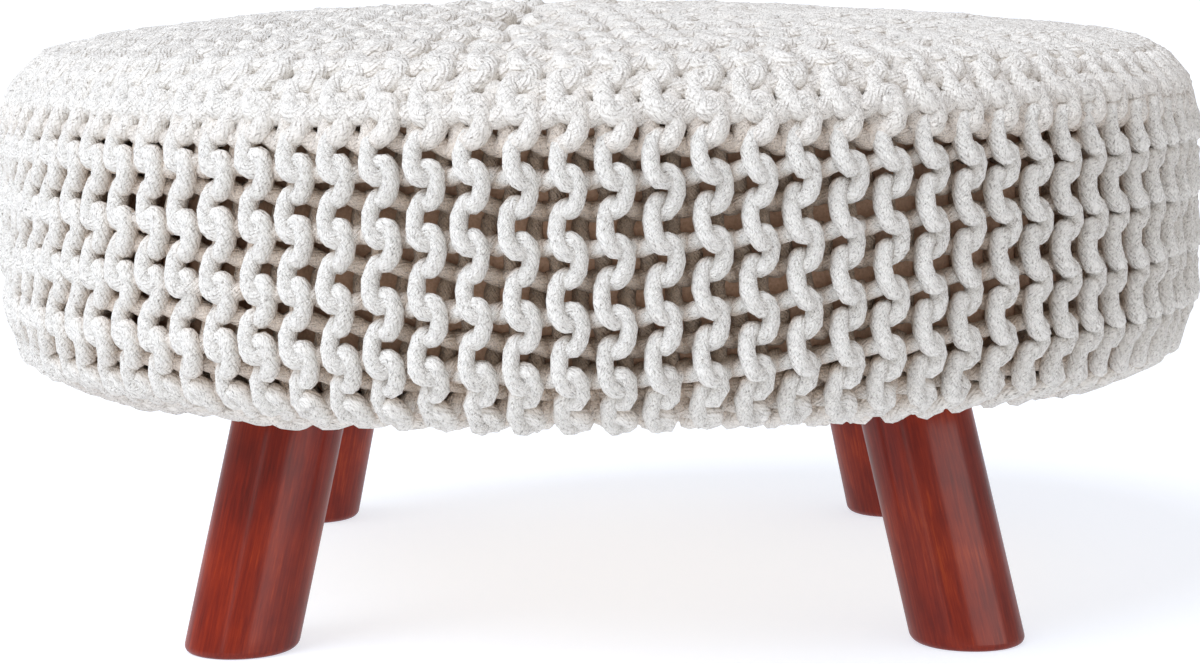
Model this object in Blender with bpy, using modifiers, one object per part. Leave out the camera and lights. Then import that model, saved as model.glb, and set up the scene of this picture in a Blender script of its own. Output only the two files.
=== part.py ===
"""Round knitted pouf on four splayed wooden legs. Metres, +Z up, front at -Y, origin on the floor."""

from math import atan2, cos, exp, hypot, pi, radians, sin, sqrt

import bmesh
import bpy
from mathutils import Matrix

MM = 0.001
GAP = 0.3 * MM  # left between pieces that touch

# Seat: heights from the floor, radii from its upright axis
TOP_HEIGHT = 0.2723
UNDERSIDE_HEIGHT = 0.1065
SEAT_RADIUS = 0.280
CROWN_RADIUS = 0.240  # where the crown turns into the shoulder
CROWN_DROP = 0.0148  # from the middle of the top to that circle
CROWN_POWER = 2.6
SIDE_TOP = 0.205  # between these two heights the side stands straight
SIDE_BOTTOM = 0.150
SHOULDER_PULL = (0.028, 0.032)  # how far the shoulder curve runs on along the crown and up the side
CORNER_PULL = (0.024, 0.026)  # the same for the drawn-in bottom corner, down the side and along the underside
HEM_RADIUS = 0.246  # where that corner ends
CURVE_STEPS = 40  # points worked out along each curve of the half section

# Knitted cover
COVER_THICKNESS = 16 * MM
RIBS = 90  # garter ridges, each running from the gathered middle of the top over the side to the hem
RIB_DEPTH = 5.5 * MM
STITCH_PITCH = 24.5 * MM  # along a ridge
ZIGZAG = 3.6 * MM  # how far a ridge swings to each side, once a stitch
RIB_START = (0.070, 0.190)  # the ridges rise out of the gathered middle between these radii
CROWN_ROWS = (0.018, 0.032, 0.048, 0.070, 0.095, 0.120, 0.148, 0.176, 0.204)  # radii of its points there
GATHER_AT = (-0.037, -0.008)  # the gathered middle lies left of the seat's axis
GATHER_DEPTH = 9 * MM
GATHER_RADIUS = 0.016
FOLDS = 7  # soft folds round the gathering
FOLD_HEIGHT = 3 * MM
FOLD_DIP = 0.6  # how much wider the dips between the folds are than the folds
FOLD_RADIUS = 0.040
UNEVEN = 1.2 * MM  # how far the hand-made cover strays from a true round
UNEVEN_WAVES = (2, 6)  # in slow waves, so many round the seat
UNEVEN_LEAN = 40  # how far the faster waves shift with height, in radians a metre

# Inner cushion and base board
CASING_ROWS = 11
ROUND_STEPS = 64
BOARD_RADIUS = 0.222

# Legs
LEG_DIAMETER = 0.048
LEG_SPREAD = 0.2209  # from the seat's axis to the middle of a sole
LEG_SLOPE = 0.302  # how far a leg leans outwards for each metre of height
LEG_TOP = UNDERSIDE_HEIGHT - GAP
LEG_SIDES = 36
SOLE_EDGE = 3.5 * MM  # rounding at the floor
LEG_BEARINGS = {"leg_front_left": 225, "leg_front_right": 315, "leg_back_left": 135, "leg_back_right": 45}

FINISHES = {  # colour, roughness
    "knitted_cotton_rope": ((0.80, 0.77, 0.71), 0.95),
    "brown_cotton_casing": ((0.15, 0.09, 0.055), 0.95),
    "stained_lacquered_wood": ((0.22, 0.028, 0.014), 0.30),
    "plain_plywood": ((0.55, 0.40, 0.25), 0.70),
}


def bezier(start, pull_start, pull_end, end):
    """Points along a cubic curve, without its first one."""
    points = []
    for k in range(1, CURVE_STEPS + 1):
        t = k / CURVE_STEPS
        weights = ((1 - t) ** 3, 3 * t * (1 - t) ** 2, 3 * t * t * (1 - t), t**3)
        corners = (start, pull_start, pull_end, end)
        points.append(tuple(sum(w * c[axis] for w, c in zip(weights, corners)) for axis in (0, 1)))
    return points


def crown_height(radius):
    return TOP_HEIGHT - CROWN_DROP * (radius / CROWN_RADIUS) ** CROWN_POWER


def seat_outline():
    """Fine (radius, height) points of the half section: crown, shoulder, side, drawn-in corner, underside."""
    radii = [CROWN_RADIUS * k / CURVE_STEPS for k in range(CURVE_STEPS + 1)]
    crown = [(radius, crown_height(radius)) for radius in radii]
    slope = CROWN_DROP * CROWN_POWER / CROWN_RADIUS
    shoulder = bezier(
        crown[-1],
        (CROWN_RADIUS + SHOULDER_PULL[0], crown[-1][1] - slope * SHOULDER_PULL[0]),
        (SEAT_RADIUS, SIDE_TOP + SHOULDER_PULL[1]),
        (SEAT_RADIUS, SIDE_TOP),
    )
    corner = bezier(
        (SEAT_RADIUS, SIDE_BOTTOM),
        (SEAT_RADIUS, SIDE_BOTTOM - CORNER_PULL[0]),
        (HEM_RADIUS + CORNER_PULL[1], UNDERSIDE_HEIGHT),
        (HEM_RADIUS, UNDERSIDE_HEIGHT),
    )
    return crown + shoulder + [(SEAT_RADIUS, SIDE_BOTTOM)] + corner + [(BOARD_RADIUS + GAP, UNDERSIDE_HEIGHT)]


def outline_length(outline):
    return sum(hypot(b[0] - a[0], b[1] - a[1]) for a, b in zip(outline, outline[1:]))


def station(outline, length):
    """The point this far along an outline, and the outward normal there."""
    for (r0, z0), (r1, z1) in zip(outline, outline[1:]):
        step = hypot(r1 - r0, z1 - z0)
        if length <= step or (r1, z1) == outline[-1]:
            part = min(length / step, 1.0)
            return (r0 + part * (r1 - r0), z0 + part * (z1 - z0)), ((z0 - z1) / step, (r1 - r0) / step)
        length -= step


def inner_outline(depth):
    """A few points of the outline moved inwards by depth, from the axis round to the underside."""
    outline = seat_outline()
    length = outline_length(outline)
    points = [(0.0, TOP_HEIGHT - depth)]
    for k in range(1, CASING_ROWS + 1):
        (radius, height), (out, up) = station(outline, length * k / CASING_ROWS)
        points.append((radius - depth * out, height - depth * up))
    return points


def blend(low, high, value):
    """0 below low, 1 above high, smooth between."""
    part = min(max((value - low) / (high - low), 0.0), 1.0)
    return part * part * (3 - 2 * part)


def collection(name):
    made = bpy.data.collections.new(name)
    bpy.context.scene.collection.children.link(made)
    return made


def material(name):
    colour, roughness = FINISHES[name]
    made = bpy.data.materials.new(name)
    made.use_nodes = True
    shader = made.node_tree.nodes["Principled BSDF"]
    shader.inputs["Base Color"].default_value = (*colour, 1.0)
    shader.inputs["Roughness"].default_value = roughness
    shader.inputs["Metallic"].default_value = 0.0
    made.diffuse_color = (*colour, 1.0)


def piece(mesh, home, finish, crease=50):
    """An object of this mesh, with its finish, smooth but for edges sharper than the crease angle."""
    mesh.materials.append(bpy.data.materials[finish])
    mesh.shade_smooth()
    mesh.set_sharp_from_angle(angle=radians(crease))
    obj = bpy.data.objects.new(mesh.name, mesh)
    home.objects.link(obj)
    return obj


def facing_out(mesh):
    bm = bmesh.new()
    bm.from_mesh(mesh)
    bmesh.ops.recalc_face_normals(bm, faces=bm.faces)
    bm.to_mesh(mesh)
    bm.free()
    return mesh


def turned(name, outline, steps):
    """The mesh of an outline, listed from its top to its bottom, turned round the Z axis."""
    mesh = bpy.data.meshes.new(name)
    mesh.from_pydata([(r, 0.0, z) for r, z in outline], [(k, k + 1) for k in range(len(outline) - 1)], [])
    obj = bpy.data.objects.new(name, mesh)
    bpy.context.scene.collection.objects.link(obj)
    screw = obj.modifiers.new("turn", "SCREW")
    screw.steps = screw.render_steps = steps
    screw.use_merge_vertices = True
    screw.merge_threshold = 0.01 * MM
    result = bpy.data.meshes.new_from_object(obj.evaluated_get(bpy.context.evaluated_depsgraph_get()))
    bpy.data.objects.remove(obj)
    bpy.data.meshes.remove(mesh)
    result.name = name
    return facing_out(result)


def rib_rows(outline):
    """How far along the outline the cover's points lie: on the crown, then half a stitch apart to the hem."""
    length = outline_length(outline)
    count = int((length - CROWN_RADIUS) / (STITCH_PITCH / 2))
    return list(CROWN_ROWS) + [length - k * STITCH_PITCH / 2 for k in range(count - 1, 0, -1)]


def ribbed(radius, height, angle, row, normal):
    """Where a point of the turned seat goes once it has ridges, a gathered middle and some unevenness."""
    on_top = height > SIDE_TOP
    rise = blend(*RIB_START, radius) if on_top else blend(BOARD_RADIUS, HEM_RADIUS, radius)
    in_furrow = round(angle / (pi / RIBS)) % 2
    if radius > CROWN_RADIUS or not on_top:
        angle += rise * (-1) ** row * ZIGZAG / radius
    slow, fast = (waves * angle for waves in UNEVEN_WAVES)
    stray = 1 + (sin(slow) + sin(fast + UNEVEN_LEAN * height)) / 2
    depth = rise * (RIB_DEPTH * in_furrow + UNEVEN * stray)
    x, y = ((radius - depth * normal[0]) * turn(angle) for turn in (cos, sin))
    z = height - depth * normal[1]
    if on_top:
        pull = max(1 - radius / CROWN_RADIUS, 0.0)
        x += pull * GATHER_AT[0]
        y += pull * GATHER_AT[1]
        z -= GATHER_DEPTH * exp(-((radius / GATHER_RADIUS) ** 2))
        ring = exp(-(((radius - FOLD_RADIUS) / GATHER_RADIUS) ** 2))
        z += FOLD_HEIGHT * ring * (cos(FOLDS * angle) - FOLD_DIP) / 2
    return x, y, z


def knit_cover(home, cutters):
    """One hollow shell: the ridged outside, with the room for the casing and the board cut out of it."""
    outline = seat_outline()
    rows = [station(outline, length) for length in rib_rows(outline)]
    section = [(0.0, TOP_HEIGHT)] + [point for point, _ in rows] + [outline[-1], (0.0, UNDERSIDE_HEIGHT)]
    mesh = turned("knit_cover", section, 2 * RIBS)
    for vertex in mesh.vertices:
        x, y, z = vertex.co
        radius = hypot(x, y)
        row = min(range(len(rows)), key=lambda k: hypot(rows[k][0][0] - radius, rows[k][0][1] - z))
        if z > UNDERSIDE_HEIGHT + GAP or radius > BOARD_RADIUS + 2 * GAP:
            vertex.co = ribbed(radius, z, atan2(y, x), row, rows[row][1])
    cover = piece(mesh, home, "knitted_cotton_rope")

    room = inner_outline(COVER_THICKNESS)
    below = UNDERSIDE_HEIGHT - COVER_THICKNESS
    room[-1:] = [(BOARD_RADIUS + GAP, room[-1][1]), (BOARD_RADIUS + GAP, below), (0.0, below)]
    cutter = piece(turned("room_for_the_filling", room, ROUND_STEPS), cutters, "brown_cotton_casing")
    cutter.display_type = "WIRE"
    cutter.hide_render = True
    hollow = cover.modifiers.new("hollow", "BOOLEAN")
    hollow.operation = "DIFFERENCE"
    hollow.object = cutter


def casing(home):
    """The filled inner cushion, one closed solid, which shows brown through the gaps of the knit."""
    section = inner_outline(COVER_THICKNESS + GAP)
    section[-1:] = [(BOARD_RADIUS, section[-1][1]), (0.0, section[-1][1])]
    piece(turned("casing", section, ROUND_STEPS), home, "brown_cotton_casing")


def base_board(home):
    """The round board that closes the underside and takes the legs. The cover's hem lies around its edge."""
    section = [(0.0, UNDERSIDE_HEIGHT + COVER_THICKNESS), (BOARD_RADIUS, UNDERSIDE_HEIGHT + COVER_THICKNESS)]
    section += [(BOARD_RADIUS, UNDERSIDE_HEIGHT), (0.0, UNDERSIDE_HEIGHT)]
    piece(turned("base_board", section, ROUND_STEPS), home, "plain_plywood")


def leg(home, name):
    """A round leg cut level at the floor and at the board, so its level section is longer along its lean."""
    bm = bmesh.new()
    radii = {"radius1": LEG_DIAMETER / 2, "radius2": LEG_DIAMETER / 2}
    bmesh.ops.create_cone(bm, cap_ends=True, segments=LEG_SIDES, depth=LEG_TOP, **radii)
    lean = Matrix.Identity(4)
    lean[0][0] = sqrt(1 + LEG_SLOPE**2)
    lean[0][2] = -LEG_SLOPE
    lean[0][3] = LEG_SPREAD - LEG_SLOPE * LEG_TOP / 2
    lean[2][3] = LEG_TOP / 2
    turn = Matrix.Rotation(radians(LEG_BEARINGS[name]), 4, "Z")
    bmesh.ops.transform(bm, matrix=turn @ lean, verts=bm.verts)
    sole = [edge for edge in bm.edges if max(vertex.co.z for vertex in edge.verts) < GAP]
    bmesh.ops.bevel(bm, geom=sole, offset=SOLE_EDGE, segments=2, profile=0.5, affect="EDGES")
    mesh = bpy.data.meshes.new(name)
    bm.to_mesh(mesh)
    bm.free()
    piece(mesh, home, "stained_lacquered_wood")


def build():
    for obj in list(bpy.data.objects):
        bpy.data.objects.remove(obj)
    for name in FINISHES:
        material(name)
    home = collection("knitted pouf")
    knit_cover(home, collection("cutters"))
    casing(home)
    base_board(home)
    for name in LEG_BEARINGS:
        leg(home, name)


build()
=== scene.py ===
"""The looks of a round knitted pouf on four splayed wooden legs.

Metres, +Z up, front at -Y, floor at Z 0.
"""

from math import atan, cos, exp, hypot, pi, radians, sin, sqrt

import bmesh
import bpy
from mathutils import Euler, Matrix, Vector, noise


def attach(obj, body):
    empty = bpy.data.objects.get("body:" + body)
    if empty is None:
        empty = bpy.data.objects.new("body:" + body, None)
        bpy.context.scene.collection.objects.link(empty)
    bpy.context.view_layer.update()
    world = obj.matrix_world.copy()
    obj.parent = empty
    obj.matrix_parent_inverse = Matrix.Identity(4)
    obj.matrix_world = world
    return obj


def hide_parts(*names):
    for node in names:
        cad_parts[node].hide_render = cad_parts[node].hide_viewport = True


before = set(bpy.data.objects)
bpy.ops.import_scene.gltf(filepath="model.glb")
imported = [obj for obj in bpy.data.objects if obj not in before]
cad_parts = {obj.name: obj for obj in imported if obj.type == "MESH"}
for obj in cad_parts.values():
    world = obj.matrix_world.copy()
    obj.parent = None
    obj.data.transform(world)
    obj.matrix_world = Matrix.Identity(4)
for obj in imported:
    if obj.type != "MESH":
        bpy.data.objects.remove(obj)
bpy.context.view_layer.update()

MM = 0.001

# Camera, as it stood for the photo
PHOTO_WIDTH = 1200  # pixels
FOCAL_PIXELS = 2875.8
CAMERA_AT = (-0.0006, -1.3672, 0.2789)
LOOKS_DOWN = radians(6.77)
CAMERA_ROLL = -0.0106
SENSOR_WIDTH = 36  # millimetres, as Blender takes it

# Seat: heights from the floor, radii from its upright axis, as in the CAD solids
TOP_HEIGHT = 0.2723
UNDERSIDE_HEIGHT = 0.1065
SEAT_RADIUS = 0.280
CROWN_RADIUS = 0.240  # where the crown turns into the shoulder
CROWN_DROP = 0.0148  # from the middle of the top to that circle
CROWN_POWER = 2.6
SIDE_TOP = 0.205  # between these two heights the side stands straight
SIDE_BOTTOM = 0.150
SHOULDER_PULL = (0.028, 0.032)  # how far the shoulder curve runs on along the crown and up the side
CORNER_PULL = (0.024, 0.026)  # the same for the drawn-in corner, down the side and along the underside
HEM_RADIUS = 0.246  # where that corner ends
BOARD_RADIUS = 0.222
BOARD_THICKNESS = 16 * MM
BOARD_EDGE = 1.5 * MM  # its bevel
BOARD_SIDES = 128
CURVE_STEPS = 40  # points worked out along each curve of the half section
GATHER_AT = (-0.037, -0.008)  # the gathered middle lies left of the seat's axis
GATHER_DEPTH = 12 * MM
GATHER_RADIUS = 0.015
FOLDS = 7  # soft folds round the gathering
FOLD_HEIGHT = 2 * MM
FOLD_RADIUS = 0.034
FOLD_DIP = 0.3  # how much wider the dips between the folds are than the folds
CREASE = ((-0.027, -0.05), (-0.042, -0.19))  # a fold in the top runs between these points
CREASE_DEPTH = 12 * MM
CREASE_WIDTH = 7 * MM

# Rope of the cover
ROPE_DIAMETER = 7.1 * MM
ROPE_SPREAD = 0.38  # how much thicker it is where the ridges lie flat and it is packed close
ROPE_DEEPER = 0.32  # how much thicker it is outwards than across, where the ridges stand high
ROPE_LUMPS = 1.6 * MM  # how uneven its own surface is, over the distance of the next line
LUMP_SPACING = 3.5 * MM
ROPE_SIDES = 8

# Knitting: garter stitch, its rows running from the gathered middle down to the hem
STITCH_LENGTH = 24.5 * MM  # from one loop of a row to the next
WEDGES = 15  # the top is shaped by short rows in equal wedges
RIDGES_IN_WEDGE = 6  # a ridge shows the loops of two rows
ROWS_IN_WEDGE = 2 * RIDGES_IN_WEDGE
ROW_ENDS = (0.007, 0.050, 0.082, 0.114, 0.146, 0.178)  # radius at which each ridge of a wedge begins
ROW_BEGINS = 1 * MM  # how far inside that it begins to take up width
ROW_WIDENS = 0.024  # and how far outside it has its full width
FRONT_RIDGE = radians(1.3)  # bearing of the ridge nearest the front, from straight ahead
TIGHTER_IN_FRONT = 0.04  # how much closer together the rows are in front than at the sides
FIRST_LOOP = 16.0 * MM  # distance from the seat's middle to the loops of a row, less whole stitches
FRONT_DIP = 11.5 * MM  # the loops hang lower in front, most of all near the hem
DIP_WIDTH = radians(20)
DIP_FROM, DIP_TO = 0.26, 0.38  # distance from the middle of the top over which the dip grows
DIP_MOST = 1.1  # its share of FRONT_DIP at the hem
TUCK = 9 * MM  # how deep a row's end lies
TUCK_FLATTENS = 0.6  # how much lower its loops are there
HEM_TUCK = 10 * MM  # every row is tucked in over this distance at the hem
GUIDE_STEP = STITCH_LENGTH / 5  # between the points of a row's guide line
ROW_STEP = STITCH_LENGTH / 21  # between the points of its rope
CROWDING = 0.13  # how far those points move to where the rope bends most, in radians of a stitch
PANELS = 6  # the knitting is made in this many meshes

# Loops of a row, and the ridges that they make
LOOP_REACH = 0.93  # how far a loop reaches to each side, as a share of the distance between rows
LOOP_SWELL = 0.90  # how much a loop is wider than its neck
RIDGE_HEIGHT = 7.0 * MM  # of the loops over the middle of the fabric
RIDGE_FLATNESS = 0.6 * MM
FIRST_DROP = 4.0 * MM  # how much lower the first row of a ridge hangs behind the fabric than in front
SECOND_DROP = 2.4 * MM  # and the second row
SECOND_SLIP = 1.1 * MM  # how far the second row of a ridge is moved along it
FIRST_LONGER = 0.3 * MM  # how much further the first row's loops reach up and down in front
SECOND_LONGER = 2.2 * MM  # and the second row's
NECK_STEP = 2.2 * MM  # the lower neck of a loop stands this much in front, and the upper one behind
NECK_LIFT = 0.8 * MM  # and both stand this much over the middle of the fabric
LOWER_HALF_OUT = 1.4 * MM  # the lower half of a loop stands in front of the next loop's upper half
UNEVENNESS = 1.6 * MM  # how far the hand-made loops stray, over the distance of the next line
STRAY_SPACING = 31.25 * MM

# How the knitting differs round the seat. Bearings are from straight ahead, distances from the top's middle
RIGHT_SIDE = (radians(18), radians(42))  # between these the fabric comes to be pulled the other way
NECK_LIFT_ASIDE = 2.4 * MM  # there one row of a ridge stands this much higher, and the other one lower
LESS_LEAN_ASIDE = 0.65  # and the loops lean less
LEFT_SIDE = (radians(10), radians(38))  # between these it comes to be pulled less
FLATTER_LEFT = 0.34  # and this share of the ridges' height is lost
SHOULDER_RISE = (0.280, 0.306)  # between these the ridges rise to their full height
HEM_FALL = (0.055, 0.025)  # and between these, measured back from the hem's end, they fall again
FLATTENED = {"top": 0.20, "underside": 0.35}  # their height there, as a share of that on the side

# Inner cushion
CUSHION_BEHIND = 0.6 * ROPE_DIAMETER  # how far it lies under the flattest knitting
CUSHION_ROLLS = 1.5 * MM  # how uneven its filling makes it
ROLLS_IN_METRE = 30
CUSHION_ROWS = 60
CUSHION_SIDES = 180

# Legs
LEG_DIAMETER = 0.048
LEG_SPREAD = 0.2209  # from the seat's axis to the middle of a sole
LEG_SLOPE = 0.302  # how far a leg leans outwards for each metre of height
LEG_TOP = UNDERSIDE_HEIGHT - 0.3 * MM
LEG_SIDES = 96
LEG_LEVELS = 12
SOLE_EDGE = 3.5 * MM  # rounding at the floor
SOLE_STEPS = 6  # in which it is made
LEG_BEARINGS = {  # degrees
    "leg_front_left": 225,
    "leg_front_right": 315,
    "leg_back_left": 135,
    "leg_back_right": 45,
}

# Studio
FLOOR_REACH = 400  # so far that its edge never shows
AIM = (0, 0, 0.15)  # every light looks at the seat

GUIDE_VALUES = {  # what each point of a guide line says
    "across": "FLOAT_VECTOR",  # to the next row, as far as a loop reaches
    "out": "FLOAT_VECTOR",  # out of the fabric; its length is the ridges' share of their full height
    "along": "FLOAT_VECTOR",  # down the row, of length one
    "stitch": "FLOAT",  # how many stitches of the row lie before it
    "side": "FLOAT",  # 1 for the first row of a ridge, -1 for the second
    "lean": "FLOAT",  # how much the loops lean
    "aside": "FLOAT",  # how much the fabric is pulled the other way
    "thick": "FLOAT",  # the rope's thickness, as a share of its diameter
    "row": "FLOAT",  # the row's number
}


# ---------------------------------------------------------------- small helpers


def linear(colour):
    """An sRGB hex colour as the linear RGBA that shaders take."""
    shares = [int(colour[k : k + 2], 16) / 255 for k in (1, 3, 5)]
    return [c / 12.92 if c <= 0.04045 else ((c + 0.055) / 1.055) ** 2.4 for c in shares] + [1.0]


def add(tree, kind, sockets=None, stops=(), **settings):
    """Adds a node with its settings. A socket gets a value, or a link from another node or its output.

    The stops are those of a colour ramp, each a position and an sRGB hex colour.
    """
    made = tree.nodes.new(kind)
    for name, value in settings.items():
        setattr(made, name, value)
    for name, value in (sockets or {}).items():
        if isinstance(value, bpy.types.Node):
            value = value.outputs[0]
        if isinstance(value, bpy.types.NodeSocket):
            tree.links.new(value, made.inputs[name])
        else:
            made.inputs[name].default_value = value
    for _ in stops[2:]:
        made.color_ramp.elements.new(0.5)
    for (position, colour), element in zip(stops, made.color_ramp.elements if stops else ()):
        element.position = position
        element.color = linear(colour)
    return made


def blend(low, high, value):
    """0 below low, 1 above high, smooth between."""
    part = min(max((value - low) / (high - low), 0.0), 1.0)
    return part * part * (3 - 2 * part)


def placed(obj):
    """Puts a new object in the scene."""
    bpy.context.scene.collection.objects.link(obj)
    return obj


def piece(name, mesh, finish):
    """A shown object of this mesh and finish, which rides with the part's one body."""
    mesh.name = name
    mesh.materials.clear()
    mesh.materials.append(finish)
    obj = placed(bpy.data.objects.new(name, mesh))
    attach(obj, "root")
    return obj


# ---------------------------------------------------------------- finishes


def new_material(name, sockets):
    """A material whose shader has these values, with its node tree and that shader."""
    made = bpy.data.materials.new(name)
    made.use_nodes = True
    tree = made.node_tree
    tree.nodes.clear()
    shader = add(tree, "ShaderNodeBsdfPrincipled", sockets)
    add(tree, "ShaderNodeOutputMaterial", {"Surface": shader})
    return made, tree, shader


def cotton_rope():
    """Undyed twisted cotton rope: matt, off-white, fuzzy, with fine plies, small grey husk flecks, and
    painted shade deep in the knitting.
    """
    made, tree, shader = new_material(
        "undyed_cotton_rope",
        {
            "Roughness": 0.95,
            "IOR": 1.45,
            "Specular IOR Level": 0.25,
            "Sheen Weight": 0.25,
            "Sheen Roughness": 0.6,
        },
    )
    told = {
        name: add(tree, "ShaderNodeAttribute", attribute_name=name).outputs[output]
        for name, output in (("run", "Fac"), ("row", "Fac"), ("round", "Vector"), ("deep", "Fac"))
    }
    run, row = told["run"], told["row"]
    around = add(tree, "ShaderNodeSeparateXYZ", {0: told["round"]}).outputs
    angle = add(tree, "ShaderNodeMath", {0: around["Y"], 1: around["X"]}, operation="ARCTAN2")

    # Strands wind round the rope one way, and a finer twist in them the other
    relief = 0.0
    for count, turn_length, height in ((12, 44 * MM, 0.35), (-15, 30 * MM, 0.3)):
        winding = {0: run, 1: 2 * pi / turn_length, 2: angle}
        wound = add(tree, "ShaderNodeMath", winding, operation="MULTIPLY_ADD")
        counted = add(tree, "ShaderNodeMath", {0: wound, 1: count}, operation="MULTIPLY")
        wave = add(tree, "ShaderNodeMath", {0: counted}, operation="SINE")
        relief = add(tree, "ShaderNodeMath", {0: wave, 1: height, 2: relief}, operation="MULTIPLY_ADD")

    # Loose fibres lie along the strands. Single ones are too fine to show, so they are drawn as tufts of 1 mm
    straight = add(tree, "ShaderNodeCombineXYZ", {"X": around["X"], "Y": around["Y"], "Z": run})
    twist = add(tree, "ShaderNodeMath", {0: run, 1: -2 * pi / (40 * MM)}, operation="MULTIPLY")
    turning = {"Vector": straight, "Angle": twist}
    twisted = add(tree, "ShaderNodeVectorRotate", turning, rotation_type="Z_AXIS")
    fibre = add(tree, "ShaderNodeMapping", {"Vector": twisted, "Scale": (1.0, 1.0, 0.7)})
    tufts = {"Vector": fibre, "W": row, "Scale": 1 / (1.0 * MM), "Detail": 3.0, "Roughness": 0.75}
    fuzz = add(tree, "ShaderNodeTexNoise", tufts, noise_dimensions="4D")
    relief = add(tree, "ShaderNodeMath", {0: fuzz, 1: 4.5, 2: relief}, operation="MULTIPLY_ADD")
    bump = add(tree, "ShaderNodeBump", {"Height": relief, "Distance": 0.4 * MM, "Strength": 1.0})

    # Husk flecks are about 0.65 mm long. Deep in the knitting the rope is painted warmer and darker, as
    # painted shade where little light comes
    husks = {"Vector": fibre, "W": row, "Scale": 1 / (0.65 * MM), "Detail": 3.0, "Roughness": 0.6}
    flecks = add(tree, "ShaderNodeTexNoise", husks, noise_dimensions="4D")
    grey = ((0.42, "#FBF6EE"), (0.54, "#EFEAE1"), (0.62, "#D5CEC5"), (0.71, "#9D968D"))
    painted_shade = ((0.05, "#FFFFFF"), (0.28, "#F5E9DF"), (0.52, "#E6D4C3"), (0.75, "#D6C1AD"), (1.0, "#C2A993"))
    grey = add(tree, "ShaderNodeValToRGB", {"Fac": flecks}, grey)
    # Painted shade: the rope's colour turns warmer and darker the deeper it lies
    painted_shade = add(tree, "ShaderNodeValToRGB", {"Fac": told["deep"]}, painted_shade)
    tint = add(tree, "ShaderNodeMix", {0: 1.0, 6: grey, 7: painted_shade}, data_type="RGBA", blend_type="MULTIPLY")
    tree.links.new(tint.outputs[2], shader.inputs["Base Color"])
    tree.links.new(bump.outputs[0], shader.inputs["Normal"])
    return made


def casing_cotton():
    """Plain brown woven cotton: matt, its weave drawn at 1.2 mm, coarser than real, to show in the gaps."""
    made, tree, shader = new_material("brown_woven_cotton", {"Roughness": 0.95})
    place = add(tree, "ShaderNodeTexCoord").outputs["Object"]
    threads = add(tree, "ShaderNodeTexNoise", {"Vector": place, "Scale": 1 / (1.2 * MM), "Detail": 2.0})
    tint = add(tree, "ShaderNodeValToRGB", {"Fac": threads}, ((0.3, "#CEA687"), (0.7, "#E6C0A2")))
    bump = add(tree, "ShaderNodeBump", {"Height": threads, "Distance": 0.3 * MM, "Strength": 0.6})
    tree.links.new(tint.outputs[0], shader.inputs["Base Color"])
    tree.links.new(bump.outputs[0], shader.inputs["Normal"])
    return made


def stained_wood(name, bearing):
    """Turned hardwood, stained red-brown and sprayed with a satin lacquer: grain along the leg, soft gloss.

    The grain is drawn 1.4 mm wide, coarser than real, to show. The stain is cloudy over 36 mm or so.
    """
    made, tree, shader = new_material(
        name,
        {
            "Roughness": 0.5,
            "IOR": 1.45,
            "Specular IOR Level": 0.15,
            "Coat Weight": 0.3,
            "Coat Roughness": 0.2,
        },
    )
    place = add(tree, "ShaderNodeTexCoord").outputs["Object"]
    for turn in ((0, 0, -radians(bearing)), (0, atan(LEG_SLOPE), 0)):  # to stand along the leg
        place = add(tree, "ShaderNodeMapping", {"Vector": place, "Rotation": turn}, vector_type="POINT")
    long_grain = add(tree, "ShaderNodeMapping", {"Vector": place, "Scale": (1.0, 1.0, 0.06)})
    grained = {"Vector": long_grain, "Scale": 1 / (1.4 * MM), "Detail": 5.0, "Roughness": 0.7}
    grain = add(tree, "ShaderNodeTexNoise", grained)
    clouds = add(tree, "ShaderNodeTexNoise", {"Vector": place, "Scale": 1 / (35.7 * MM), "Detail": 3.0})
    clouds = add(tree, "ShaderNodeMath", {0: clouds, 1: 0.45}, operation="MULTIPLY")
    stain = add(tree, "ShaderNodeMath", {0: grain, 1: 0.55, 2: clouds}, operation="MULTIPLY_ADD")
    reds = ((0.30, "#450D05"), (0.46, "#6A1606"), (0.58, "#812208"), (0.72, "#A23D12"))
    tint = add(tree, "ShaderNodeValToRGB", {"Fac": stain}, reds)
    bump = add(tree, "ShaderNodeBump", {"Height": grain, "Distance": 0.08 * MM, "Strength": 0.5})
    tree.links.new(tint.outputs[0], shader.inputs["Base Color"])
    tree.links.new(bump.outputs[0], shader.inputs["Normal"])
    return made


def plywood():
    """Sanded poplar plywood: pale, matt, with long soft grain about 4 mm wide."""
    made, tree, shader = new_material("sanded_plywood", {"Roughness": 0.7})
    place = add(tree, "ShaderNodeTexCoord").outputs["Object"]
    long_grain = add(tree, "ShaderNodeMapping", {"Vector": place, "Scale": (0.05, 1.0, 1.0)})
    grained = {"Vector": long_grain, "Scale": 1 / (4 * MM), "Detail": 6.0, "Distortion": 0.6}
    grain = add(tree, "ShaderNodeTexNoise", grained)
    tans = ((0.3, "#C9A878"), (0.5, "#D9BC8E"), (0.7, "#E3CBA2"))
    tint = add(tree, "ShaderNodeValToRGB", {"Fac": grain}, tans)
    bump = add(tree, "ShaderNodeBump", {"Height": grain, "Distance": 0.1 * MM, "Strength": 0.4})
    tree.links.new(tint.outputs[0], shader.inputs["Base Color"])
    tree.links.new(bump.outputs[0], shader.inputs["Normal"])
    return made


# ---------------------------------------------------------------- the seat's shape


def bezier(*corners):
    """Points along the cubic curve of these four corners, without its first one."""
    points = []
    for k in range(1, CURVE_STEPS + 1):
        t = k / CURVE_STEPS
        weights = ((1 - t) ** 3, 3 * t * (1 - t) ** 2, 3 * t * t * (1 - t), t**3)
        points.append(tuple(sum(w * c[axis] for w, c in zip(weights, corners)) for axis in (0, 1)))
    return points


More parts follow.
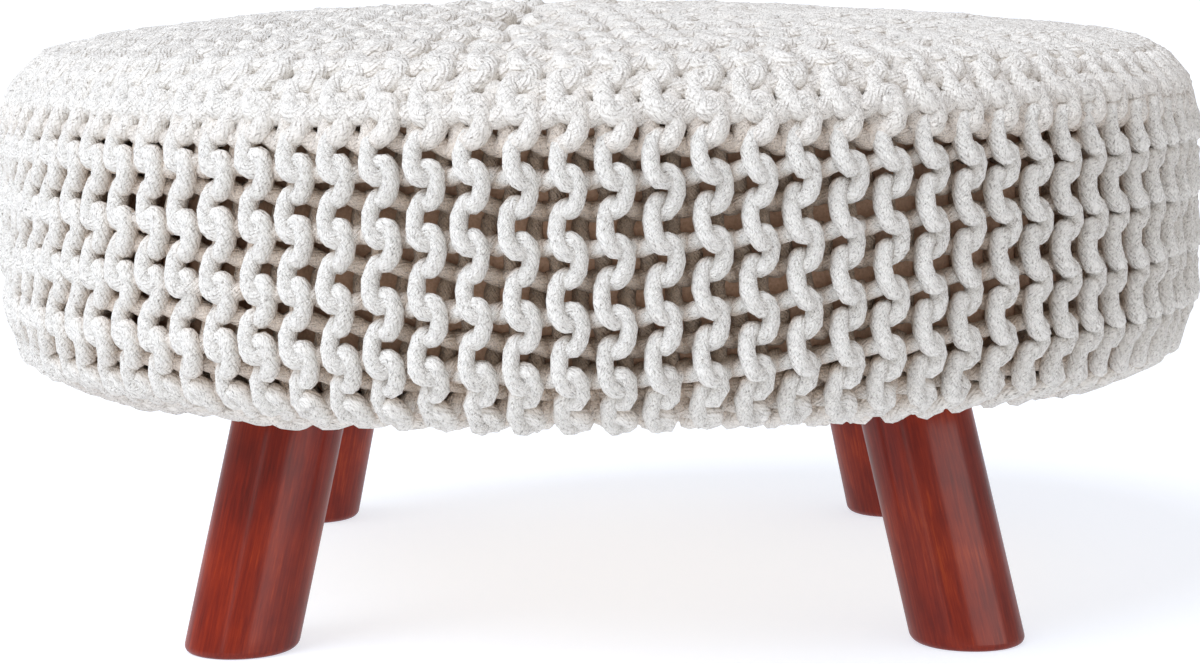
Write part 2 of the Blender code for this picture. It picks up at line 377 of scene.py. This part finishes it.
def seat_outline():
    """Fine (radius, height) points of the half section: crown, shoulder, side, drawn-in corner, underside."""
    radii = [CROWN_RADIUS * k / CURVE_STEPS for k in range(CURVE_STEPS + 1)]
    crown = [(r, TOP_HEIGHT - CROWN_DROP * (r / CROWN_RADIUS) ** CROWN_POWER) for r in radii]
    slope = CROWN_DROP * CROWN_POWER / CROWN_RADIUS
    shoulder = bezier(
        crown[-1],
        (CROWN_RADIUS + SHOULDER_PULL[0], crown[-1][1] - slope * SHOULDER_PULL[0]),
        (SEAT_RADIUS, SIDE_TOP + SHOULDER_PULL[1]),
        (SEAT_RADIUS, SIDE_TOP),
    )
    corner = bezier(
        (SEAT_RADIUS, SIDE_BOTTOM),
        (SEAT_RADIUS, SIDE_BOTTOM - CORNER_PULL[0]),
        (HEM_RADIUS + CORNER_PULL[1], UNDERSIDE_HEIGHT),
        (HEM_RADIUS, UNDERSIDE_HEIGHT),
    )
    return crown + shoulder + [(SEAT_RADIUS, SIDE_BOTTOM)] + corner + [(BOARD_RADIUS, UNDERSIDE_HEIGHT)]


OUTLINE = seat_outline()
OUTLINE_LENGTH = sum(hypot(b[0] - a[0], b[1] - a[1]) for a, b in zip(OUTLINE, OUTLINE[1:]))


def station(length):
    """The outline's point this far from the middle of the top, and the outward normal there."""
    for (r0, z0), (r1, z1) in zip(OUTLINE, OUTLINE[1:]):
        step = hypot(r1 - r0, z1 - z0)
        if length <= step or (r1, z1) == OUTLINE[-1]:
            part = length / step
            return (r0 + part * (r1 - r0), z0 + part * (z1 - z0)), ((z0 - z1) / step, (r1 - r0) / step)
        length -= step


def sunk_at(place):
    """How far the top is drawn in at this point, at the gathered middle and along the crease."""
    from_gather = hypot(place.x - GATHER_AT[0], place.y - GATHER_AT[1])
    start, end = Vector(CREASE[0]), Vector(CREASE[1])
    beside, run = Vector(place[:2]) - start, end - start
    from_crease = (beside - run * min(max(beside.dot(run) / run.length_squared, 0.0), 1.0)).length
    gathered = GATHER_DEPTH * exp(-((from_gather / GATHER_RADIUS) ** 2))
    return gathered + CREASE_DEPTH * exp(-((from_crease / CREASE_WIDTH) ** 2))


def seat_point(angle, length, depth):
    """A point of the seat at this bearing, this far from its middle and this deep under its outside."""
    (radius, height), (out, up) = station(length)
    inner = radius - depth * out
    place = Vector((inner * cos(angle), inner * sin(angle), height - depth * up))
    pull = max(1 - radius / CROWN_RADIUS, 0.0) if height > SIDE_TOP else 0.0
    if pull:
        place.x += pull * GATHER_AT[0]
        place.y += pull * GATHER_AT[1]
        ring = exp(-(((radius - FOLD_RADIUS) / GATHER_RADIUS) ** 2))
        place.z += FOLD_HEIGHT * ring * (cos(FOLDS * angle) + FOLD_DIP) / (1 + FOLD_DIP)
        place.z -= sunk_at(place)
    return place


# ---------------------------------------------------------------- the knitted cover


def row_bearing(row, radius):
    """The bearing of a row of knitting at this radius, its width, and the share this is of its full width."""
    wedge, within = divmod(row, ROWS_IN_WEDGE)
    shares = [blend(end - ROW_BEGINS, end + ROW_WIDENS, radius) for end in ROW_ENDS for _ in (0, 1)]
    shares[0] = shares[1] = 1.0
    across = (sum(shares[:within]) + shares[within] / 2) / sum(shares)
    turn = 2 * pi / WEDGES
    return (wedge + across) * turn, shares[within] / sum(shares) * turn * radius, shares[within]


def from_front(angle):
    """This bearing as seen from the front: 0 straight ahead, positive to the right."""
    return (angle + pi / 2 + pi) % (2 * pi) - pi


def rows_dip(bearing, length):
    """How far the loops of a row hang lower in front than at the sides."""
    grown = min(max((length - DIP_FROM) / (DIP_TO - DIP_FROM), 0.0), DIP_MOST)
    return FRONT_DIP * grown * exp(-((bearing / DIP_WIDTH) ** 2))


def relief_at(length):
    """How high the ridges stand at this distance from the top's middle, as a share of those on the side."""
    on_top = 1 - blend(*SHOULDER_RISE, length)
    beneath = blend(OUTLINE_LENGTH - HEM_FALL[0], OUTLINE_LENGTH - HEM_FALL[1], length)
    return 1 - (1 - FLATTENED["top"]) * on_top - (1 - FLATTENED["underside"]) * beneath


def guide_values(row, length):
    """Where a row's guide line lies at this distance from the top's middle, and its GUIDE_VALUES there."""
    radius = station(length)[0][0]
    on_top = length < CROWN_RADIUS
    bearing, width, share = row_bearing(row, radius if on_top else SEAT_RADIUS)
    width *= 1 if on_top else radius / SEAT_RADIUS
    half_ridge = 2 * pi / (WEDGES * ROWS_IN_WEDGE)  # a ridge is two rows wide
    angle = bearing + (-pi / 2 + FRONT_RIDGE - half_ridge)
    angle -= TIGHTER_IN_FRONT * sin(from_front(angle))
    seen = from_front(angle)
    aside = blend(*RIGHT_SIDE, seen)
    sunk = 1 - share * (1 - blend(OUTLINE_LENGTH - HEM_TUCK, OUTLINE_LENGTH, length))
    relief = relief_at(length) * (1 - FLATTER_LEFT * blend(*LEFT_SIDE, -seen))
    depth = ROPE_DIAMETER / 2 * (1 + ROPE_DEEPER * relief**2) + RIDGE_HEIGHT * relief + TUCK * sunk

    along = Vector((cos(angle), sin(angle), 0))
    if length > MM:
        along = (seat_point(angle, length + MM, depth) - seat_point(angle, length - MM, depth)).normalized()
    across = Vector((-sin(angle), cos(angle), 0))
    return seat_point(angle, length, depth), {
        "across": across * width * LOOP_REACH,
        "out": along.cross(across).normalized() * relief * (1 - sunk * TUCK_FLATTENS),
        "along": along,
        "stitch": (length - FIRST_LOOP - rows_dip(seen, length)) / STITCH_LENGTH,
        "side": 1 if row % 2 == 0 else -1,
        "lean": 1 - LESS_LEAN_ASIDE * aside,
        "aside": aside,
        "thick": 1 + ROPE_SPREAD * (1 - relief),
        "row": row,
    }


def row_guides(first, last):
    """A mesh of one line of points for each row, with the values that say how its loops lie."""
    mesh = bpy.data.meshes.new("guides")
    points, edges, told = [], [], []
    for row in range(first, last):
        start = ROW_ENDS[row % ROWS_IN_WEDGE // 2]
        count = round((OUTLINE_LENGTH - start) / GUIDE_STEP)
        for k in range(count + 1):
            place, values = guide_values(row, start + (OUTLINE_LENGTH - start) * k / count)
            if k:
                edges.append((len(points) - 1, len(points)))
            points.append(place)
            told.append(values)
    mesh.from_pydata(points, edges, [])
    for name, kind in GUIDE_VALUES.items():
        data = mesh.attributes.new(name, kind, "POINT").data
        if kind == "FLOAT":
            data.foreach_set("value", [values[name] for values in told])
        else:
            data.foreach_set("vector", [c for values in told for c in values[name]])
    return mesh


def loops_along_rows():
    """Geometry Nodes that lay the rope in loops along each guide line, with the sizes of their inputs."""
    tree = bpy.data.node_groups.new("garter_stitch", "GeometryNodeTree")
    sizes = {
        "Rope Diameter": ROPE_DIAMETER,
        "Rope Deeper": ROPE_DEEPER,
        "Stitch Length": STITCH_LENGTH,
        "Step": ROW_STEP,
        "Swell": LOOP_SWELL,
        "Ridge Height": RIDGE_HEIGHT,
        "Ridge Flatness": RIDGE_FLATNESS,
        "First Drop": FIRST_DROP,
        "Second Drop": SECOND_DROP,
        "Second Slip": SECOND_SLIP,
        "First Longer": FIRST_LONGER,
        "Second Longer": SECOND_LONGER,
        "Neck Step": NECK_STEP,
        "Neck Lift": NECK_LIFT,
        "Neck Lift Aside": NECK_LIFT_ASIDE,
        "Lower Half Out": LOWER_HALF_OUT,
        "Crowding": CROWDING,
        "Unevenness": UNEVENNESS,
        "Lumps": ROPE_LUMPS,
        "Lump Spacing": LUMP_SPACING,
        "Stray Spacing": STRAY_SPACING,
    }
    inputs = {"Guides": "Geometry"} | dict.fromkeys(sizes, "Float")
    inputs |= {"Rope Sides": "Int", "Finish": "Material"}
    for name, kind in inputs.items():
        tree.interface.new_socket(name, in_out="INPUT", socket_type=f"NodeSocket{kind}")
    tree.interface.new_socket("Rope", in_out="OUTPUT", socket_type="NodeSocketGeometry")

    # What the formulas below start from: the inputs, the guides' values, and what is read off the rope
    known = dict(add(tree, "NodeGroupInput").outputs.items())
    for name, kind in (GUIDE_VALUES | {"centre": "FLOAT_VECTOR", "deep": "FLOAT"}).items():
        known[name] = add(tree, "GeometryNodeInputNamedAttribute", {"Name": name}, data_type=kind).outputs[0]
    place = add(tree, "GeometryNodeInputPosition")
    from_centre = add(tree, "ShaderNodeVectorMath", {0: place, 1: known["centre"]}, operation="SUBTRACT")
    beyond = add(tree, "ShaderNodeVectorMath", {0: from_centre, 1: known["out"]}, operation="DOT_PRODUCT")
    relief = add(tree, "ShaderNodeVectorMath", {0: known["out"]}, operation="LENGTH")
    known |= {"beyond": beyond.outputs["Value"], "relief": relief.outputs["Value"]}
    for spacing in ("Stray Spacing", "Lump Spacing"):
        known[f"1 / {spacing}"] = add(tree, "ShaderNodeMath", {0: 1.0, 1: known[spacing]}, operation="DIVIDE")
    stray = {"Vector": place, "W": known["side"], "Scale": known["1 / Stray Spacing"], "Detail": 1.0}
    stray = add(tree, "ShaderNodeTexNoise", stray, noise_dimensions="4D").outputs["Color"]
    lumps = {"Vector": place, "Scale": known["1 / Lump Spacing"], "Detail": 1.0}
    known["lumps"] = add(tree, "ShaderNodeTexNoise", lumps).outputs["Fac"]

    formulas = {  # each is a Math node: its operation, then the numbers or the known values that it takes
        # One stitch is one turn, and points crowd where the rope bends most
        "even turn": ("MULTIPLY", "stitch", 2 * pi),
        "four even turns": ("MULTIPLY", "even turn", 4),
        "bends": ("SINE", "four even turns"),
        "crowd": ("MULTIPLY", "bends", "Crowding"),
        "turn": ("ADD", "even turn", "crowd"),
        "two turns": ("MULTIPLY", "turn", 2),
        "three turns": ("MULTIPLY", "turn", 3),
        "sine": ("SINE", "turn"),
        "cosine": ("COSINE", "turn"),
        "sine of two": ("SINE", "two turns"),
        "cosine of three": ("COSINE", "three turns"),
        # Which row of a ridge this is, and whether the rope runs in front of the fabric or behind it
        "second": ("MULTIPLY_ADD", "side", -0.5, 0.5),
        "first": ("SUBTRACT", 1.0, "second"),
        "faces": ("MULTIPLY", "side", "cosine"),
        "behind": ("MULTIPLY_ADD", "faces", -0.5, 0.5),
        "in front": ("SUBTRACT", 1.0, "behind"),
        # How far the rope stands out of the fabric
        "wave": ("MULTIPLY", "cosine", "Ridge Height"),
        "flats": ("MULTIPLY", "cosine of three", "Ridge Flatness"),
        "ridge": ("SUBTRACT", "wave", "flats"),
        "half out": ("MULTIPLY", "sine of two", "Lower Half Out"),
        "neck out": ("MULTIPLY", "sine", "Neck Step"),
        "step": ("SUBTRACT", "half out", "neck out"),
        "side aside": ("MULTIPLY", "side", "aside"),
        "facing": ("MULTIPLY", "side aside", "Neck Lift Aside"),
        "neck": ("MULTIPLY", "sine", "sine"),
        "neck height": ("SUBTRACT", "Neck Lift", "facing"),
        "lift": ("MULTIPLY", "neck", "neck height"),
        "ridge on its side": ("MULTIPLY", "side", "ridge"),
        "leaning": ("MULTIPLY_ADD", "step", "lean", "lift"),
        "height": ("ADD", "ridge on its side", "leaning"),
        # How far it is moved along the row
        "length of a radian": ("DIVIDE", "Stitch Length", 2 * pi),
        "swell length": ("MULTIPLY", "Swell", "length of a radian"),
        "swell": ("MULTIPLY", "sine of two", "swell length"),
        "second longer": ("MULTIPLY", "second", "Second Longer"),
        "first longer": ("MULTIPLY", "first", "First Longer"),
        "longer": ("SUBTRACT", "second longer", "first longer"),
        "first drop": ("MULTIPLY", "first", "First Drop"),
        "second drop": ("MULTIPLY", "second", "Second Drop"),
        "drop": ("ADD", "first drop", "second drop"),
        "slip": ("MULTIPLY", "second", "Second Slip"),
        "lower": ("MULTIPLY_ADD", "behind", "drop", "slip"),
        "leans by": ("MULTIPLY_ADD", "lower", "lean", "swell"),
        "neck in front": ("MULTIPLY", "sine", "in front"),
        "reaches": ("MULTIPLY", "neck in front", "longer"),
        "evenly": ("SUBTRACT", "leans by", "reaches"),
        "shift": ("MULTIPLY_ADD", "crowd", "length of a radian", "evenly"),
        # A noise seldom strays more than a quarter from its middle
        "stray reach": ("MULTIPLY", "Unevenness", 4.0),
        "lump": ("SUBTRACT", "lumps", 0.5),
        "lump height": ("MULTIPLY", "lump", "Lumps"),
        # How deep the rope lies, 0 in front to 1 behind: first its middle, then its own surface. The rope's
        # finish paints shade by it, less where the ridges lie flat
        "stands": ("MULTIPLY", "height", "relief"),
        "stands share": ("DIVIDE", "stands", "Ridge Height"),
        "middle deep": ("MULTIPLY_ADD", "stands share", -0.5, 0.5),
        "deeper": ("MULTIPLY", "beyond", "Rope Deeper"),
        "beyond share": ("DIVIDE", "beyond", "Ridge Height"),
        "surface deep": ("MULTIPLY_ADD", "beyond share", -0.5, "deep"),
        "deep on the side": ("MULTIPLY", "surface deep", "relief"),
        "rope radius": ("DIVIDE", "Rope Diameter", 2),
    }
    for name, (operation, *taken) in formulas.items():
        sockets = {k: known[value] if isinstance(value, str) else value for k, value in enumerate(taken)}
        known[name] = add(tree, "ShaderNodeMath", sockets, operation=operation)

    known["centred"] = add(tree, "ShaderNodeVectorMath", {0: stray, 1: (0.5, 0.5, 0.5)}, operation="SUBTRACT")
    swings = {"across": "cosine", "out": "height", "along": "shift", "centred": "stray reach"}
    moves = []
    for vector, factor in swings.items():
        scaled = {0: known[vector], "Scale": known[factor]}
        moves.append(add(tree, "ShaderNodeVectorMath", scaled, operation="SCALE"))
    offset = moves[0]
    for move in moves[1:]:
        offset = add(tree, "ShaderNodeVectorMath", {0: offset, 1: move}, operation="ADD")

    rope = add(tree, "GeometryNodeMeshToCurve", {"Mesh": known["Guides"]})
    rope = add(tree, "GeometryNodeResampleCurve", {"Curve": rope, "Length": known["Step"]}, mode="LENGTH")
    rope = add(tree, "GeometryNodeSetPosition", {"Geometry": rope, "Offset": offset})
    run = add(tree, "GeometryNodeSplineParameter").outputs["Length"]
    for name, value, kind in (
        ("run", run, "FLOAT"),
        ("deep", known["middle deep"], "FLOAT"),
        ("centre", place, "FLOAT_VECTOR"),
    ):
        kept = {"Geometry": rope, "Name": name, "Value": value}
        rope = add(tree, "GeometryNodeStoreNamedAttribute", kept, data_type=kind, domain="POINT")
    circle = {"Resolution": known["Rope Sides"], "Radius": known["rope radius"]}
    circle = add(tree, "GeometryNodeCurvePrimitiveCircle", circle)
    kept = {"Geometry": circle, "Name": "round", "Value": place}
    section = add(tree, "GeometryNodeStoreNamedAttribute", kept, data_type="FLOAT_VECTOR", domain="POINT")
    swept = {"Curve": rope, "Profile Curve": section, "Scale": known["thick"], "Fill Caps": True}
    rope = add(tree, "GeometryNodeCurveToMesh", swept)
    deeper = add(tree, "ShaderNodeVectorMath", {0: known["out"], "Scale": known["deeper"]}, operation="SCALE")
    rope = add(tree, "GeometryNodeSetPosition", {"Geometry": rope, "Offset": deeper})
    kept = {"Geometry": rope, "Name": "deep", "Value": known["deep on the side"]}
    rope = add(tree, "GeometryNodeStoreNamedAttribute", kept, data_type="FLOAT", domain="POINT")
    lumpy = {0: add(tree, "GeometryNodeInputNormal"), "Scale": known["lump height"]}
    lumpy = add(tree, "ShaderNodeVectorMath", lumpy, operation="SCALE")
    rope = add(tree, "GeometryNodeSetPosition", {"Geometry": rope, "Offset": lumpy})
    rope = add(tree, "GeometryNodeSetShadeSmooth", {"Geometry": rope})
    rope = add(tree, "GeometryNodeRealizeInstances", {"Geometry": rope})
    rope = add(tree, "GeometryNodeSetMaterial", {"Geometry": rope, "Material": known["Finish"]})
    add(tree, "NodeGroupOutput", {"Rope": rope})
    return tree, sizes


def knitted_cover(finish):
    """The rope of the cover, in panels that meet between two ridges."""
    tree, sizes = loops_along_rows()
    socket = {item.name: item.identifier for item in tree.interface.items_tree}
    given = sizes | {"Rope Sides": ROPE_SIDES, "Finish": finish}
    rows = WEDGES * ROWS_IN_WEDGE
    for panel in range(PANELS):
        mesh = row_guides(rows * panel // PANELS, rows * (panel + 1) // PANELS)
        guides = placed(bpy.data.objects.new("guides", mesh))
        nodes = guides.modifiers.new("loops", "NODES")
        nodes.node_group = tree
        for name, value in given.items():
            nodes[socket[name]] = value
        mesh = bpy.data.meshes.new_from_object(guides.evaluated_get(bpy.context.evaluated_depsgraph_get()))
        bpy.data.objects.remove(guides)
        obj = piece(f"knitted_cover_{panel + 1}", mesh, finish)
        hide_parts("knit_cover")


# ---------------------------------------------------------------- cushion, board and legs


def turned(outline, steps):
    """The mesh of (radius, height) points turned round the Z axis. The first and the last one lie on it."""
    bm = bmesh.new()
    verts = [bm.verts.new((r, 0, z)) for r, z in outline]
    edges = [bm.edges.new(pair) for pair in zip(verts, verts[1:])]
    round_z = {"axis": (0, 0, 1), "cent": (0, 0, 0), "angle": 2 * pi}
    bmesh.ops.spin(bm, geom=verts + edges, steps=steps, use_merge=True, **round_z)
    bmesh.ops.remove_doubles(bm, verts=bm.verts, dist=0.01 * MM)
    bmesh.ops.recalc_face_normals(bm, faces=bm.faces)
    mesh = bpy.data.meshes.new("turned")
    bm.to_mesh(mesh)
    bm.free()
    mesh.shade_smooth()
    mesh.set_sharp_from_angle(angle=radians(50))
    return mesh


def cushion(finish):
    """The filled brown case under the knitting. Its surface rolls a little, and sinks as the cover does."""
    outline = []
    for k in range(CUSHION_ROWS + 1):
        length = OUTLINE_LENGTH * k / CUSHION_ROWS
        depth = CUSHION_BEHIND + 2 * RIDGE_HEIGHT * relief_at(length)
        (radius, height), (out, up) = station(length)
        outline.append((max(radius - depth * out, 0.0), height - depth * up))
    outline.append((0.0, outline[-1][1]))
    mesh = turned(outline, CUSHION_SIDES)
    for vertex in mesh.vertices:
        vertex.co += vertex.normal * noise.noise(vertex.co * ROLLS_IN_METRE) * CUSHION_ROLLS
        if vertex.co.z > SIDE_TOP:
            vertex.co.z -= sunk_at(vertex.co)
    obj = piece("inner_cushion", mesh, finish)
    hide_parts("casing")


def board(finish):
    """The round board that closes the underside, its lower edge bevelled."""
    top, low = UNDERSIDE_HEIGHT + BOARD_THICKNESS, UNDERSIDE_HEIGHT
    rim = [(BOARD_RADIUS, top), (BOARD_RADIUS, low + BOARD_EDGE), (BOARD_RADIUS - BOARD_EDGE, low)]
    mesh = turned([(0, top), *rim, (0, low)], BOARD_SIDES)
    obj = piece("underside_board", mesh, finish)
    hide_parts("base_board")


def legs():
    """Four round legs. Each is turned upright, then sheared to lean outwards, so both ends stay level."""
    radius = LEG_DIAMETER / 2
    levels = [LEG_TOP * (1 - k / LEG_LEVELS) for k in range(LEG_LEVELS)]
    outline = [(0, LEG_TOP)] + [(radius, z) for z in levels if z > SOLE_EDGE]
    for k in range(SOLE_STEPS + 1):
        bend = radians(90 * k / SOLE_STEPS)
        outline.append((radius - SOLE_EDGE * (1 - cos(bend)), SOLE_EDGE * (1 - sin(bend))))
    outline.append((0, 0))
    lean = Matrix.Identity(4)
    lean[0][0] = sqrt(1 + LEG_SLOPE**2)  # wider at a level cut, so the leg itself stays round
    lean[0][2] = -LEG_SLOPE
    lean[0][3] = LEG_SPREAD
    for name, bearing in LEG_BEARINGS.items():
        mesh = turned(outline, LEG_SIDES)
        mesh.transform(Matrix.Rotation(radians(bearing), 4, "Z") @ lean)
        finish = stained_wood(f"stained_lacquered_wood_{name}", bearing)
        obj = piece(f"turned_{name}", mesh, finish)
        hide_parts(name)


# ---------------------------------------------------------------- camera, floor and light


def camera():
    """The camera of the photo."""
    data = bpy.data.cameras.new("camera")
    data.sensor_width = SENSOR_WIDTH
    data.lens = SENSOR_WIDTH * FOCAL_PIXELS / PHOTO_WIDTH
    obj = placed(bpy.data.objects.new("camera", data))
    obj.location = CAMERA_AT
    aim = Euler((pi / 2 - LOOKS_DOWN, 0, 0)).to_matrix() @ Matrix.Rotation(CAMERA_ROLL, 3, "Z")
    obj.rotation_euler = aim.to_euler()
    bpy.context.scene.camera = obj


def floor():
    """A white floor that is also lit from below, as a studio's table is, so that its shadows stay pale."""
    made, tree, shader = new_material(
        "white_studio_floor",
        {
            "Base Color": linear("#B4B4B4"),
            "Roughness": 0.9,
            "Specular IOR Level": 0.2,
            "Emission Color": linear("#EFF5FF"),
            "Emission Strength": 0.75,
        },
    )
    mesh = bpy.data.meshes.new("floor")
    bm = bmesh.new()
    bmesh.ops.create_grid(bm, x_segments=1, y_segments=1, size=FLOOR_REACH)
    bm.to_mesh(mesh)
    bm.free()
    mesh.materials.append(made)
    placed(bpy.data.objects.new("floor", mesh))


def light(name, kind, place, strength, seen_in, **settings):
    """A light that looks at the seat. It is seen in matt surfaces or in gloss, as seen_in says."""
    data = bpy.data.lights.new(name, kind)
    data.energy = strength
    for setting, value in settings.items():
        setattr(data, setting, value)
    obj = placed(bpy.data.objects.new(name, data))
    obj.location = place
    obj.rotation_euler = (Vector(AIM) - obj.location).to_track_quat("-Z", "Y").to_euler()
    obj.visible_diffuse = seen_in == "matt"
    obj.visible_glossy = seen_in == "gloss"


def lights():
    """A pale room, a soft key and a wide bank on the left for matt surfaces, and two cards for the gloss."""
    world = bpy.data.worlds.new("studio")
    bpy.context.scene.world = world
    world.use_nodes = True
    background = world.node_tree.nodes["Background"]
    background.inputs["Color"].default_value = linear("#FFF8F6")
    background.inputs["Strength"].default_value = 0.50
    cool, cooler = linear("#F2F8FF")[:3], linear("#E5F0FF")[:3]
    card = {"kind": "AREA", "shape": "RECTANGLE", "size_y": 1.2}
    light("key", "SUN", (-1.5, -1.1, 2.5), 3.15, "matt", angle=radians(50), color=cooler)
    light("left_bank", "AREA", (-2.3, -1.8, 1.0), 11, "matt", shape="SQUARE", size=2.0, color=cool)
    light("right_card", place=(1.05, -1.15, 0.6), strength=24, seen_in="gloss", size=1.9, **card)
    light("left_strip", place=(-0.85, -1.3, 0.6), strength=1.6, seen_in="gloss", size=0.14, **card)
    bpy.context.scene.view_settings.view_transform = "Standard"


camera()
knitted_cover(cotton_rope())
cushion(casing_cotton())
board(plywood())
legs()
floor()
lights()
